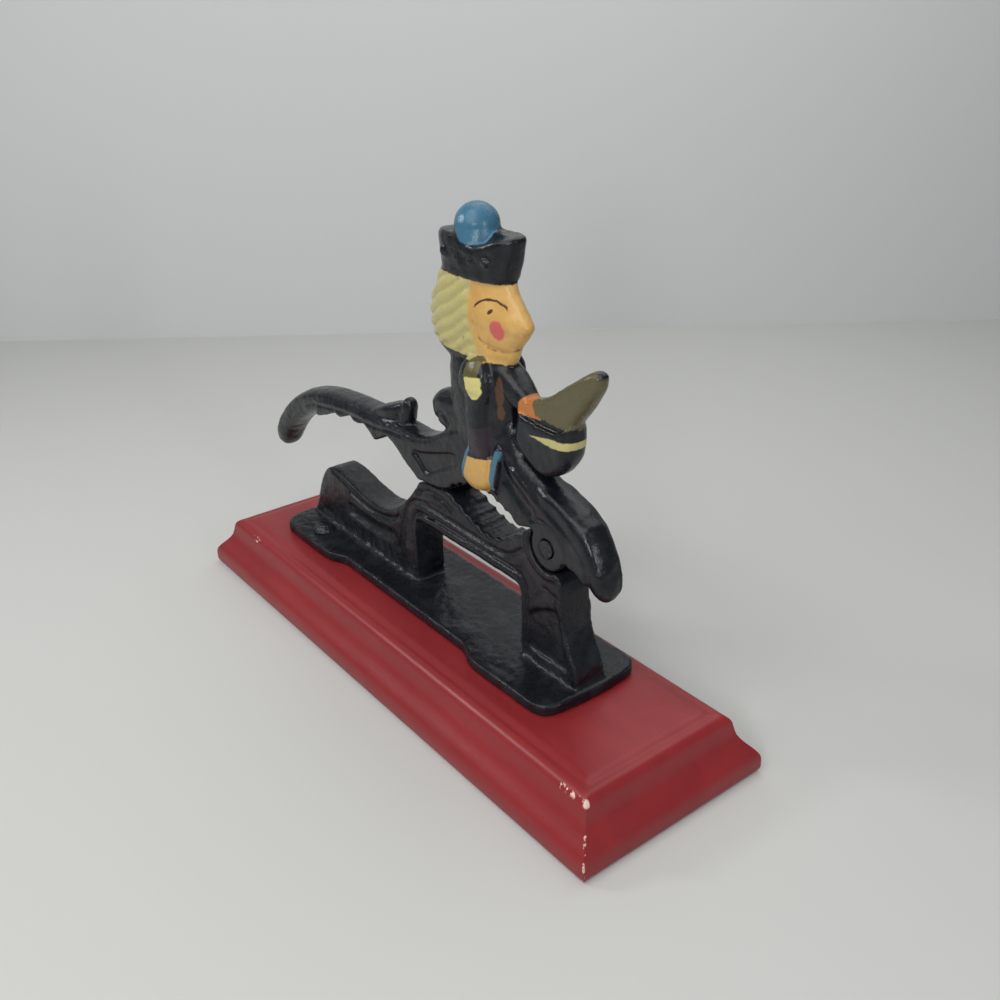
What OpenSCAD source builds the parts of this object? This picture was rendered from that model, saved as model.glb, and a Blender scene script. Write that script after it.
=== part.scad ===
// Lever nutcracker press: a painted wooden plinth carries a cast-iron bed, and a
// cast-iron lever with a toy-soldier figure turns on one pin above it.
// Millimetres. +Z is up, +X runs to the hinge end, the plinth's bottom is Z = 0.

/* [Plinth] */
// Length of the wooden plinth along X
plinth_l = 209; // [195:1:225]
// Width of the wooden plinth along Y
plinth_w = 66; // [60:1:76]
// Thickness of the board
plinth_h = 19; // [17:0.5:22]
// How far the upright under the lip stands in from the widest part
lip_inset = 6.1; // [5.6:0.1:7]

/* [Castings] */
// Thickness of the bed wall, the lever body and the hub
cast_t = 10.5; // [9:0.5:12]
// How far both castings sit behind the plinth's centre line
casting_shift = 2.6; // [0:0.1:4]
// Depth of the sunk panels and grooves on the castings
relief = 1.1; // [0.6:0.1:1.4]
// How far the lip round the hub stands out of the bed's faces
lip_out = 0.6; // [0.3:0.1:1]

/* [Bed plate] */
// Thickness of the foot plate
plate_t = 3.5; // [3:0.1:5]
// Half width of the plate at its four lobes
lobe_half = 18.4; // [17:0.1:20]
// Half width of the plate between the lobes
waist_half = 15.4; // [14:0.1:16]
// Left end of the plate
plate_left = -81.5; // [-84:0.5:-81]
// Right end of the plate
plate_right = 69.5; // [69:0.5:72]

/* [Window] */
// Left side of the window under the press
window_left = -10; // [-11:0.5:-8]
// Right side of the window under the press
window_right = 43.5; // [42:0.5:44]
// Height of the window's top edge
window_top = 45.6; // [44:0.1:46.5]

/* [Pivot] */
// Pin position along X
pivot_x = 54.5; // [54:0.1:55]
// Pin height above the table
pivot_z = 61.7; // [61.2:0.1:62.2]
// Radius of the steel pin
pin_r = 2.5; // [2:0.1:2.8]
// Radius of the lever's hub
hub_r = 6.6; // [6.3:0.1:7]
// Radial clearance of the pin in the lever's two ears
pin_clear = 0.05; // [0.02:0.01:0.1]
// Thickness of the bed's tongue between the ears
tongue_t = 4.2; // [3.6:0.1:4.8]
// Clearance each side of the tongue and round the hub
side_clear = 0.3; // [0.25:0.05:0.4]

/* [Nut jaws] */
// Depth of the nut trough below its rims
trough_depth = 7.6; // [6:0.1:8]
// Rise of the lever's jaw over the nut
jaw_rise = 5.4; // [4.5:0.1:6]
// Flutes across each jaw, with a gripping ridge between two
jaw_teeth = 8; // [6:1:10]
// Depth of one flute
tooth_h = 0.8; // [0.4:0.1:1]

/* [Screws] */
// Diameter of the round screw heads
screw_head_d = 8; // [7:0.1:8.5]
// Shank diameter of the wood screws
screw_d = 4.2; // [3.5:0.1:4.5]
// Depth of the shank in the plinth
screw_bite = 12; // [9:0.5:14]

/* [Figure] */
// Radius of the ball on the hat
ball_r = 6.1; // [5.4:0.1:6.6]
// Radius of the rosettes round the hat
rosette_r = 1.3; // [0.8:0.1:1.8]
// Distance from one rosette to the next
rosette_pitch = 6; // [5:0.1:7]

/* [Hidden] */
$fn = 64;
bottom_r = 0.6;
plate_z = plinth_h + plate_t;
seat_r = hub_r + side_clear + 0.3;
tongue_r = 5;
slot_t = tongue_t + 2 * side_clear;
trough_ends = [[8, 61.6], [pivot_x - 7.5, pivot_z + 2.8]];
jaw_ends = [[8, 62.4], [42, 63.6]];
rest_gap = 0.4;
screw_spots = [[-62.5, -10.8], [50, 10.8]];
iron = [0.16, 0.17, 0.19];

// ---------- curve helpers ----------

// One point of a smooth curve between b and c
function blend(a, b, c, d, t) =
    0.5 * (2 * b + (c - a) * t + (2 * a - 5 * b + 4 * c - d) * t * t
    + (3 * b - 3 * c + d - a) * t * t * t);

// Smooth run through the points p, n steps a span, its last point left out
function run(p, n = 4) =
    let (last = len(p) - 1)
    [for (i = [0:last - 1], k = [0:n - 1])
        blend(i > 0 ? p[i - 1] : 2 * p[0] - p[1], p[i], p[i + 1],
            i + 2 <= last ? p[i + 2] : 2 * p[last] - p[last - 1], k / n)];

// The same run with its last point
function curve(p, n = 4) = concat(run(p, n), [p[len(p) - 1]]);

// Arc about c from angle a0 to a1, its last point left out
function arc(c, r, a0, a1, n = 12) =
    [for (k = [0:n - 1]) let (a = a0 + (a1 - a0) * k / n) c + r * [cos(a), sin(a)]];

// A profile drawn in X and Z, made t thick about the casting's middle plane
module slab(t) {
    rotate([90, 0, 0])
        linear_extrude(height = t, center = true)
            children();
}

// The same profile cut into both faces of a casting of thickness t to depth d
module both_faces(t, d) {
    for (s = [-1, 1])
        translate([0, s * (t / 2 - d / 2 + 0.5), 0])
            slab(d + 1)
                children();
}

// Skin over a list of rings that all have the same number of points,
// with `steps` rings made for each one given
module loft(coarse, steps = 2) {
    rings = curve(coarse, steps);
    n = len(rings[0]);
    m = len(rings);
    points = [for (r = rings, p = r) p];
    sides = [for (i = [0:m - 2], k = [0:n - 1])
        let (a = i * n + k, b = i * n + (k + 1) % n)
        each [[a, a + n, b], [b, a + n, b + n]]];
    polyhedron(points, concat(
        [[for (k = [0:n - 1]) k]],
        sides,
        [[for (k = [n - 1:-1:0]) (m - 1) * n + k]]
    ), convexity = 6);
}

// Level oval ring at height z: x from x0 to x1, half width w, front drawn to a point by nose
function oval(z, x0, x1, w, nose = 0, lift = 0, n = 20) =
    [for (k = [0:n - 1])
        let (a = 360 * k / n, c = cos(a), s = sin(a), q = 0.75)
        [(x0 + x1) / 2 + (x1 - x0) / 2 * sign(c) * pow(abs(c), q),
            w * sign(s) * pow(abs(s), q) * (1 - nose * max(0, c)),
            z + lift * c]];

// Upright ring across a bar at [x, z], turned to slope a, half height h, half width w
function rib(x, z, a, h, w, n = 16) =
    [for (k = [0:n - 1])
        let (t = 360 * k / n, c = cos(t), s = sin(t), q = 0.7,
            u = h * sign(s) * pow(abs(s), q), v = w * sign(c) * pow(abs(c), q))
        [x - u * sin(a), v, z + u * cos(a)]];

// Flat piece with rounded edges: an outline about centre c, t thick, drawn in by edge
module pillow(p, c, t, edge) {
    rings = [for (s = [[-1, 1 - edge], [-0.72, 1 - edge * 0.3], [-0.3, 1], [0.3, 1],
        [0.72, 1 - edge * 0.3], [1, 1 - edge]])
        [for (q = p) let (v = c + (q - c) * s[1]) [v[0], s[0] * t / 2, v[1]]]];
    loft(rings, 1);
}

// Round bar along a list of ribs [x, z, slope, half height, half width]
module bar(ribs) {
    loft([for (r = ribs) rib(r[0], r[1], r[2], r[3], r[4])]);
}

// Point t of a nut jaw between its two ends, bowed down or up by `bow`;
// the hollow of the bed lies a little nearer the hinge
function trough(t) = (1 - t) * trough_ends[0] + t * trough_ends[1]
    - [0, trough_depth * pow(sin(180 * pow(t, 1.15)), 1.2)];
function jaw(t) = (1 - t) * jaw_ends[0] + t * jaw_ends[1] + [0, jaw_rise * sin(180 * t)];

// ---------- wooden plinth ----------

// Half of the moulded edge: short upright, nose, slope, cove, upright and rounded lip
module edge_section(half) {
    nose_r = 4;
    nose_z = 4.4;
    cove_r = 5.4;
    cove_z = 15.4;
    lip_r = 2;
    lean = 48;
    lip_x = half - lip_inset;
    nose_end = [half - nose_r + nose_r * cos(lean), nose_z + nose_r * sin(lean)];
    cove_c = [lip_x + cove_r, cove_z];
    cove_end = cove_c - cove_r * [cos(lean), sin(lean)];
    difference() {
        union() {
            translate([0, bottom_r])
                square([half, nose_z - bottom_r]);
            square([half - bottom_r, nose_z]);
            translate([half - bottom_r, bottom_r])
                circle(r = bottom_r);
            translate([half - nose_r, nose_z])
                circle(r = nose_r);
            square([lip_x, plinth_h - lip_r]);
            square([lip_x - lip_r, plinth_h]);
            translate([lip_x - lip_r, plinth_h - lip_r])
                circle(r = lip_r);
            polygon([[0, nose_z], [half - nose_r, nose_z], nose_end, cove_end, cove_c,
                [lip_x, cove_z], [0, cove_z]]);
        }
        translate(cove_c)
            circle(r = cove_r);
    }
}

module edge_profile(half) {
    edge_section(half);
    mirror([1, 0])
        edge_section(half);
}

module plinth() {
    line_in = 5.4;
    line_w = 0.8;
    flat_l = plinth_l - 2 * lip_inset - 2 * line_in;
    flat_w = plinth_w - 2 * lip_inset - 2 * line_in;
    color([0.75, 0.08, 0.12])
        difference() {
            intersection() {
                rotate([90, 0, 90])
                    linear_extrude(height = plinth_l, center = true)
                        edge_profile(plinth_w / 2);
                rotate([90, 0, 0])
                    linear_extrude(height = plinth_w, center = true)
                        edge_profile(plinth_l / 2);
            }
            translate([0, 0, plinth_h - 0.4])
                linear_extrude(height = 1)
                    difference() {
                        square([flat_l, flat_w], center = true);
                        square([flat_l - 2 * line_w, flat_w - 2 * line_w], center = true);
                    }
            translate([0, casting_shift, 0])
                for (s = screw_spots)
                    translate([s[0], s[1], plinth_h - screw_bite])
                        cylinder(r = screw_d / 2 + 0.02, h = screw_bite + 1);
        }
}

// ---------- bed casting ----------

// Lobed outline of the foot plate
module plate_outline() {
    near = curve([[plate_left, 0], [plate_left + 0.6, -7], [plate_left + 2, -14],
        [plate_left + 5.6, -lobe_half + 0.6], [-68, -lobe_half], [-48, -lobe_half],
        [-40.5, -waist_half - 0.4], [-33, -waist_half], [20, -waist_half],
        [29, -waist_half - 0.4], [36, -lobe_half], [50, -lobe_half],
        [plate_right - 6, -lobe_half + 0.3], [plate_right - 1.6, -15],
        [plate_right - 0.4, -8], [plate_right, 0]]);
    polygon(near);
    mirror([0, 1])
        polygon(near);
}

// Top edge of the bed wall from its left foot to the arch's corner
wall_top = [[-79, plate_z - 1], [-77, 25.2], [-74.6, 30.5], [-72, 36], [-69.3, 40.4],
    [-65.8, 43.6], [-61, 44.6], [-54, 43.7], [-46, 41.8], [-38, 40.7], [-30, 41.2],
    [-24, 43.2], [-18.5, 46.9], [-14, 51], [-10, 55.3], [-6.8, 59.4]];

// Side view of the bed wall, from the left foot over the arch to the hinge foot
module wall_outline() {
    polygon(concat(
        run(wall_top, 3),
        run([[-6.8, 59.4], [-2, 60.2], [3, 60.5], trough_ends[0]], 2),
        [for (k = [0:20]) trough(k / 20)],
        [[pivot_x, pivot_z]],
        curve([[60, 52.8], [60.6, 50], [60.9, 46], [61.2, 42], [62.2, 37.5], [64.2, 32.5],
            [66.6, 27.5], [67.8, plate_z - 1]], 3)
    ));
}

module window_outline() {
    corner_r = 3.4;
    union() {
        translate([window_left, plate_z])
            square([window_right - window_left, window_top - corner_r - plate_z]);
        translate([window_left + corner_r / 2, plate_z])
            square([window_right - window_left - 1.5 * corner_r, window_top - plate_z]);
        translate([window_right - corner_r, window_top - corner_r])
            circle(r = corner_r);
        translate([window_left + corner_r / 2, window_top - corner_r / 2])
            circle(r = corner_r / 2);
        translate([window_left, plate_z])
            square([corner_r, window_top - corner_r / 2 - plate_z]);
    }
}

// Band between a curve and the same curve w lower, both through the points p
module band(p, w, n = 3) {
    back = [for (i = [len(p) - 1:-1:0]) [p[i][0], p[i][1] - w]];
    polygon(concat(curve(p, n), curve(back, n)));
}

// Sunk shapes on each face of the bed
module bed_relief() {
    // groove under the top strap, then the long panel under the bead
    band([[-52, 40.1], [-46, 38.9], [-38, 37.9], [-30, 38.4], [-24, 40.2], [-19, 43.6]], 1.4);
    band([[-53, 34.9], [-46, 34.5], [-38, 34.1], [-30, 34.6], [-24.5, 35.6]], 4.6);
    // lines that follow the window
    band([[-13.4, 30], [-13, 40], [-11.4, 46.6], [-6, 49.2], [16, 49.5], [40, 49.8],
        [44.6, 48], [46.3, 42]], 0.9);
    band([[-19.6, 36], [-17.6, 43], [-13.6, 49.4], [-7, 52.4], [14, 52.3], [34, 52.9],
        [40, 55], [46, 58.3]], 0.8);
    // short strokes at the arch's upper left
    band([[-6, 58.2], [1, 58.4], [9, 57.6]], 0.8);
    band([[-7, 56], [1, 56.2], [8, 55.6]], 0.7);
    // panel on the hinge foot, with a shallow step at its top
    polygon(concat(
        run([[46.4, 26], [46.6, 33], [47, 38.2], [52, 41.6], [57.6, 43.8], [59.4, 43]], 3),
        curve([[59.4, 43], [60.2, 37.5], [62, 32], [64, 26]], 3)
    ));
    band([[50.2, 48.4], [53.6, 49.4], [56.8, 49]], 0.8);
}

// Flutes cut across a jaw, one at each inner point of the run along it
module flutes(points, side) {
    flute_r = 2.4;
    for (i = [1:len(points) - 2]) {
        along = points[i + 1] - points[i - 1];
        out = side * [-along[1], along[0]] / norm(along);
        centre = points[i] + out * (flute_r - tooth_h);
        translate([centre[0], 0, centre[1]])
            rotate([90, 0, 0])
                cylinder(r = flute_r, h = cast_t + 2, center = true);
    }
}

// Rounded root on both faces where the wall stands on the plate, from x0 to x1
module wall_root(x0, x1) {
    root_r = 3;
    translate([x0, 0, 0])
        rotate([90, 0, 90])
            linear_extrude(height = x1 - x0)
                for (s = [0, 1])
                    mirror([s, 0])
                        translate([cast_t / 2, plate_z])
                            difference() {
                                translate([-1, -0.5])
                                    square([root_r + 1, root_r + 0.5]);
                                translate([root_r, root_r])
                                    circle(r = root_r);
                            }
}

// Lip round the lower left of the hub's seat
module seat_lip() {
    polygon(concat([[pivot_x, pivot_z]],
        arc([pivot_x, pivot_z], seat_r + 1.6, 172, 306, 16)));
}

module bed_casting() {
    color(iron)
        translate([0, casting_shift, 0])
            difference() {
                union() {
                    translate([0, 0, plinth_h])
                        linear_extrude(height = plate_t)
                            plate_outline();
                    difference() {
                        union() {
                            slab(cast_t)
                                wall_outline();
                            slab(cast_t + 2 * lip_out)
                                seat_lip();
                            wall_root(-71, window_left - 2);
                            wall_root(window_right + 1, 65);
                        }
                        slab(cast_t + 8)
                            window_outline();
                        both_faces(cast_t, relief)
                            bed_relief();
                        flutes([for (k = [0:jaw_teeth + 1]) trough(k / (jaw_teeth + 1))], 1);
                        // seat for the lever's hub
                        translate([pivot_x, 0, pivot_z])
                            rotate([90, 0, 0])
                                cylinder(r = seat_r, h = cast_t + 2, center = true);
                    }
                    // tongue that carries the pin between the lever's ears
                    slab(tongue_t)
                        tongue_outline();
                }
                translate([pivot_x, 0, pivot_z])
                    rotate([90, 0, 0])
                        cylinder(r = pin_r + 0.01, h = cast_t, center = true);
                for (s = screw_spots)
                    translate([s[0], s[1], plinth_h - 1]) {
                        cylinder(r = screw_d / 2 + 0.15, h = plate_t + 2);
                        // spot face that frees the head from the wall's root
                        translate([0, 0, plate_t + 1])
                            cylinder(r = screw_head_d / 2 + side_clear, h = 4);
                    }
            }
}

// Round tongue on a neck that leaves the tail side free for the swing
module tongue_outline() {
    neck_right = 2.4;
    translate([pivot_x, pivot_z])
        circle(r = tongue_r);
    translate([pivot_x - tongue_r, pivot_z - seat_r - 2])
        square([tongue_r + neck_right, seat_r + 2]);
}

// ---------- lever casting ----------

// Side view of the lever's body from the finger teeth to the hub
module lever_outline() {
    polygon(concat(
        // underside of the handle: three teeth and the spur
        run([[-70, 62.6], [-64, 64.6]], 1),
        run([[-64, 64.6], [-57, 67.4]], 1),
        run([[-57, 67.4], [-54, 66.6], [-47.4, 69.4]], 2),
        run([[-47.4, 69.4], [-44.4, 67.6], [-38.4, 69]], 2),
        run([[-38.4, 69], [-32, 65.2]], 1),
        run([[-32, 65.2], [-24, 69.2]], 1),
        run([[-24, 69.2], [-19, 66.9], [-13.5, 63.3], [-7.4, 60.1]], 3),
        // sole, jaw arch and hub
        run([for (q = [[-7.4, 59.6], [-2, 60.2], [3, 60.5], jaw_ends[0] - [0, rest_gap]])
            q + [0, rest_gap]], 2),
        [for (k = [0:16]) jaw(k / 16)],
        [trough_ends[1] + [0.3, 0.6], [pivot_x, pivot_z], [pivot_x + 6, pivot_z - 2]],
        // keel under the tail, then back along the top
        run([[66, 58.8], [69.5, 56.6]], 1),
        curve([[69.5, 56.6], [69, 63], [63, 68.4], [52, 73.4], [42, 79], [30, 84], [16, 83],
            [9, 79.2], [1, 74.4], [-8, 71.6], [-18, 71.2], [-36, 71.6],
            [-50, 71], [-60, 69.6], [-70, 67]], 3)
    ));
}

// Sunk web panels on each face of the lever
module lever_relief() {
    polygon(concat(
        run([[-24, 70.2], [-16, 66], [-8, 63.9], [0, 65.2], [8, 68.4], [15, 72.2]], 3),
        run([[15, 72.2], [13, 76], [6, 74.6], [-2, 70.6], [-12, 68.8], [-24, 70.2]], 3)
    ));
    polygon(concat(
        run([[35, 74.6], [41, 73.4], [47.5, 69.6]], 3),
        run([[47.5, 69.6], [49, 71.6], [44, 75.6], [37, 77.6], [35, 74.6]], 3)
    ));
}

// Bar of the handle: [x, z, slope, half height, half width]
handle_ribs = [[-105, 40.6, 74, 1.6, 2], [-104.3, 42.4, 72, 3.1, 3.6],
    [-102.2, 46.4, 60, 3.7, 4.3], [-98, 51.6, 48, 3.8, 4.5], [-91.5, 57.3, 38, 3.8, 4.6],
    [-83, 62.4, 27, 3.8, 4.7], [-73, 66.6, 18, 3.8, 4.8], [-61, 69.5, 10, 3.5, 4.8],
    [-47, 71.2, 4, 3.2, 4.8], [-33, 71.9, 0, 3, 4.9], [-20, 72, 0, 2.6, 5],
    [-9, 71.6, 8, 2.4, 5.2], [0, 74.4, 24, 2.3, 5.2], [8, 79, 30, 2.4, 5.2],
    [14, 82.6, 36, 2, 5]];

// Tail beyond the hinge: a rounded horn that curls down
tail_ribs = [[40, 78.6, -14, 5.2, 4.6], [50, 75, -18, 4.6, 4.7], [58, 71.8, -24, 4.8, 4.8],
    [64.6, 68.4, -44, 5.6, 4.8], [68.6, 62.8, -64, 5.2, 4.6], [71.5, 57.6, -74, 3.8, 4.2],
    [73, 54.4, -78, 2.5, 3.4], [73.6, 52.6, -80, 1.1, 1.8]];

// Leaf and bump on the lever's back
leaf_ribs = [[-36, 73, 10, 1.6, 3.6], [-28, 75.6, 26, 2.6, 4.2], [-22.4, 78, 30, 2.3, 3.6],
    [-17.8, 80.6, 34, 1.2, 1.8]];
bump_ribs = [[18, 86, 190, 8, 5], [11, 86.8, 190, 7.2, 5], [4.4, 86.6, 190, 5.9, 4.8],
    [0.2, 86, 190, 3.2, 3.2]];

// Horn held up in front and the drum below it
horn_edge = concat(
    run([[40, 99.4], [46, 101], [52, 103.8], [60, 109.4], [67.4, 114.2], [70.6, 113.6]], 3),
    run([[70.6, 113.6], [69.6, 109.6], [65.6, 103.4], [61, 97.6]], 3),
    run([[61, 97.6], [57, 94.8], [49, 94.4], [42, 96]], 2),
    [[42, 96]]
);
drum_edge = concat(
    run([[40, 97.6], [50, 95.6], [58, 96], [61.6, 98.6]], 3),
    run([[61.6, 98.6], [61.6, 92], [59.6, 86.4], [55, 82.2], [50, 81], [43, 84], [38, 88]], 3),
    [[38, 88]]
);

module figure_body() {
    loft([oval(76, 8, 46, 5), oval(84, 8.6, 42, 5.6), oval(92, 9.6, 37.4, 5.8),
        oval(99, 9, 37.4, 5.8), oval(105, 9.4, 36.4, 5.4), oval(109, 12, 34, 4)]);
    pillow(drum_edge, [50, 90], 8.6, 0.22);
    pillow(horn_edge, [54, 101], 6, 0.2);
    // forearm reaching to the horn
    bar([[24, 104.6, -40, 4, 4.4], [31, 104, -36, 4.4, 4.6], [38, 100.4, -30, 3.8, 4],
        [43.4, 97.4, -20, 2.6, 2.8]]);
}

module hanging_arm(side) {
    y = side * 5.4;
    shift = [0, y, 0];
    for (piece = [
        [oval(97, 20.5, 31.5, 2.4), oval(100, 19.4, 32.2, 3.6), oval(105, 20.6, 31.4, 3.4),
            oval(108.4, 23, 29, 1.6)],
        [oval(79.6, 22.6, 32, 2), oval(84, 22.4, 31.4, 2.8), oval(92, 22, 31, 3),
            oval(98, 22, 31, 3)],
        [oval(69.4, 22, 28, 1.4), oval(72, 19.6, 31.6, 2.6), oval(77, 21.6, 32.4, 2.9),
            oval(81, 22.6, 32, 2.4)]
    ])
        translate(shift)
            loft(piece);
}

module figure_head() {
    // hair and face in one, drawn to the nose in front
    loft([oval(104.6, 7.6, 30, 3.8, 0.2), oval(107.6, 3.6, 36, 5.4, 0.35),
        oval(112, 1, 38, 6, 0.4), oval(117.8, 0.4, 43, 6.2, 0.45),
        oval(120.4, 1.6, 42.2, 6.2, 0.45), oval(126, 4.6, 37, 6, 0.4),
        oval(131, 8, 35, 5.4, 0.3)]);
}

module figure_hat() {
    loft([oval(128.2, 9, 34, 5, 0, 1), oval(129, 7.8, 35.6, 5.8, 0, 1),
        oval(139.2, 6.4, 38.4, 6.3, 0, 0.8), oval(140.4, 7.6, 37.2, 5.4, 0, 0.8)]);
    // rosettes along each side, set from the hat's middle
    for (side = [-1, 1], k = [-1.5:1.5])
        translate([22 + rosette_pitch * k, side * 6, 134.6])
            sphere(r = rosette_r, $fn = 24);
    translate([20.7, 0, 141.8])
        sphere(r = ball_r);
}

module lever_casting() {
    color(iron)
        translate([0, casting_shift, 0])
            difference() {
                union() {
                    difference() {
                        slab(cast_t)
                            lever_outline();
                        both_faces(cast_t, relief)
                            lever_relief();
                        flutes([for (k = [0:jaw_teeth + 1]) jaw(k / (jaw_teeth + 1))], -1);
                    }
                    translate([pivot_x, 0, pivot_z])
                        rotate([90, 0, 0])
                            cylinder(r = hub_r, h = cast_t, center = true);
                    bar(handle_ribs);
                    bar(tail_ribs);
                    bar(leaf_ribs);
                    bar(bump_ribs);
                    figure_body();
                    figure_head();
                    figure_hat();
                    hanging_arm(-1);
                    hanging_arm(1);
                }
                fork_slot();
                translate([pivot_x, 0, pivot_z])
                    rotate([90, 0, 0])
                        cylinder(r = pin_r + pin_clear, h = cast_t + 1, center = true);
            }
}

// Slot between the ears, open below so that the lever can swing up past the tongue
module fork_slot() {
    reach = 12;
    slab(slot_t) {
        translate([pivot_x, pivot_z])
            circle(r = tongue_r + side_clear);
        translate([pivot_x, pivot_z])
            polygon(concat(
                [[-tongue_r - side_clear, 0], [-tongue_r - side_clear, -reach]],
                arc([0, 0], reach + 3, -115, -28, 8),
                [[reach, -tongue_r + 1.4]]
            ));
    }
}

// ---------- pin and screws ----------

module pivot_pin() {
    color([0.45, 0.45, 0.47])
        translate([pivot_x, casting_shift, pivot_z])
            rotate([90, 0, 0])
                cylinder(r = pin_r, h = cast_t + 0.3, center = true);
}

module wood_screws() {
    head_rise = 2.6;
    dome_r = (screw_head_d * screw_head_d / 4 + head_rise * head_rise) / (2 * head_rise);
    color([0.5, 0.5, 0.52])
        translate([0, casting_shift, 0])
            for (s = screw_spots)
                translate([s[0], s[1], plate_z])
                    difference() {
                        union() {
                            intersection() {
                                translate([0, 0, head_rise - dome_r])
                                    sphere(r = dome_r);
                                cylinder(r = screw_head_d / 2, h = head_rise + 1);
                            }
                            translate([0, 0, -plate_t - screw_bite + 1])
                                cylinder(r = screw_d / 2, h = plate_t + screw_bite);
                        }
                        translate([0, 0, head_rise])
                            rotate([0, 0, 30])
                                cube([screw_head_d + 2, 1.2, 2.4], center = true);
                    }
}

plinth();
bed_casting();
lever_casting();
pivot_pin();
wood_screws();
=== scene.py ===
# %% [markdown]
# # Lever nutcracker press
#
# Two black enamelled iron castings on a red painted plinth. The bed stays still and the
# lever, with its toy soldier, turns on the pin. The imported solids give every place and
# size. This script adds what they leave plain: the soft, lumpy skin of cast iron, the
# soldier's hair, face, coat and rosettes, the painted colours, and the moulded board.
#
# Places are written in millimetres, as on a drawing: X runs along the board to the hinge,
# Y to the far side and Z up. `MM` turns them into Blender's metres.

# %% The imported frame
import math

import bmesh
import bpy
import numpy as np
from mathutils import Matrix, Vector, noise


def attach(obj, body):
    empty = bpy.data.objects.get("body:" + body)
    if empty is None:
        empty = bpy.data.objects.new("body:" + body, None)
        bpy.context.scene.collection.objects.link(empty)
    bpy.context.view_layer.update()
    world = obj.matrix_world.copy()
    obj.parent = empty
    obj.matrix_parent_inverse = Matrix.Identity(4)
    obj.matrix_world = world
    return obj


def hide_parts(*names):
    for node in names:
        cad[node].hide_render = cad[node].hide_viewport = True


MM = 0.001
MIDDLE = 2.6                # Y of the castings' middle plane
PIVOT = (54.5, 61.7)        # X and Z of the pin

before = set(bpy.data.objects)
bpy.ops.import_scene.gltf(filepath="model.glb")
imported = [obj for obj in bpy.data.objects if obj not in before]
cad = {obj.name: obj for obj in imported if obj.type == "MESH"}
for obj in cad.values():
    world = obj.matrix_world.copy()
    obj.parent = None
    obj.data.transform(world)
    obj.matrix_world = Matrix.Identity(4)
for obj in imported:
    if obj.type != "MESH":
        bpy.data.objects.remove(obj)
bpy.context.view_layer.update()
print("frame nodes", sorted(cad))

# %% [markdown]
# ## Camera
#
# A camera can be turned by hand until it looks right, but then the pieces never quite lie
# over the photograph. This one's direction, distance and focal length were solved from the
# corners of the plinth. It looks down at the near right end and leans by a degree.

# %% Camera
AZIMUTH, ELEVATION, ROLL = (math.radians(a) for a in (52.62, 26.36, -1.26))
TARGET = Vector((11.52, 15.07, 54.48)) * MM
DISTANCE = 327.9 * MM
SENSOR, FOCAL_LENGTH = 36, 38.27


def place_camera():
    back = Vector((math.sin(AZIMUTH) * math.cos(ELEVATION),
                   -math.cos(AZIMUTH) * math.cos(ELEVATION), math.sin(ELEVATION)))
    level = Vector((0, 0, 1)).cross(back).normalized()
    up = back.cross(level)
    right = level * math.cos(ROLL) + up * math.sin(ROLL)
    up = up * math.cos(ROLL) - level * math.sin(ROLL)
    data = bpy.data.cameras.new("camera")
    data.sensor_width, data.lens = SENSOR, FOCAL_LENGTH
    data.clip_start, data.clip_end = 0.01, 20
    camera = bpy.data.objects.new("camera", data)
    camera.matrix_world = Matrix.Translation(TARGET + back * DISTANCE) @ Matrix(
        (right, up, back)).transposed().to_4x4()
    bpy.context.scene.collection.objects.link(camera)
    bpy.context.scene.camera = camera
    return camera


camera = place_camera()
print("camera at", [round(v / MM) for v in camera.location], "mm")

# %% [markdown]
# ## Writing nodes as formulas
#
# Both the finishes and the Geometry Nodes trees are long sums. They could be wired one node
# at a time, but a hundred links hide what they mean. `Num` wraps a socket so that plain
# arithmetic adds the Math nodes, which keeps a painted zone readable as a formula.

# %% Node helpers
def add(tree, kind, values=None, **settings):
    """A new node. `values` gives each input, by name or number, a constant or a socket."""
    node = tree.nodes.new(kind)
    for key, value in settings.items():
        setattr(node, key, value)
    for key, value in (values or {}).items():
        value = value.socket if isinstance(value, Num) else value
        if isinstance(value, bpy.types.NodeSocket):
            tree.links.new(value, node.inputs[key])
        else:
            node.inputs[key].default_value = value
    return node


class Num:
    """A number in a node tree. Arithmetic on it makes Math nodes."""

    def __init__(self, tree, socket):
        self.tree, self.socket = tree, socket

    def of(self, operation, *others, clamp=False):
        values = dict(enumerate((self, *others)))
        node = add(self.tree, "ShaderNodeMath", values, operation=operation, use_clamp=clamp)
        return Num(self.tree, node.outputs[0])

    def __add__(self, other):
        return self.of("ADD", other)

    def __sub__(self, other):
        return self.of("SUBTRACT", other)

    def __mul__(self, other):
        return self.of("MULTIPLY", other)

    def __truediv__(self, other):
        return self.of("DIVIDE", other)

    def __pow__(self, other):
        return self.of("POWER", other)

    def above(self, edge, soft=0.2):
        """1 where the number is over `edge`, 0 where it is under, mixed over `soft`."""
        return ((self - edge) / (2 * soft)).of("ADD", 0.5, clamp=True)

    def below(self, edge, soft=0.2):
        return ((self - edge) / (-2 * soft)).of("ADD", 0.5, clamp=True)

    def between(self, low, high, soft=0.2):
        return self.above(low, soft) * self.below(high, soft)


def distance(a, b, a0, b0, ra=1.0, rb=1.0):
    """Distance of (a, b) from (a0, b0), with the two directions measured in ra and rb."""
    return (((a - a0) / ra) ** 2 + ((b - b0) / rb) ** 2).of("SQRT")


print("node helpers: add, Num, distance")

# %% [markdown]
# ## Finishes
#
# Every surface is paint, over iron, wood or steel. Pictures of paint could be wrapped round
# the pieces, but they blur close up. `Finish` makes the paint from noise. It starts a
# material with the piece's own coordinates in millimetres, so that each zone keeps its
# place when the lever swings.

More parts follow.
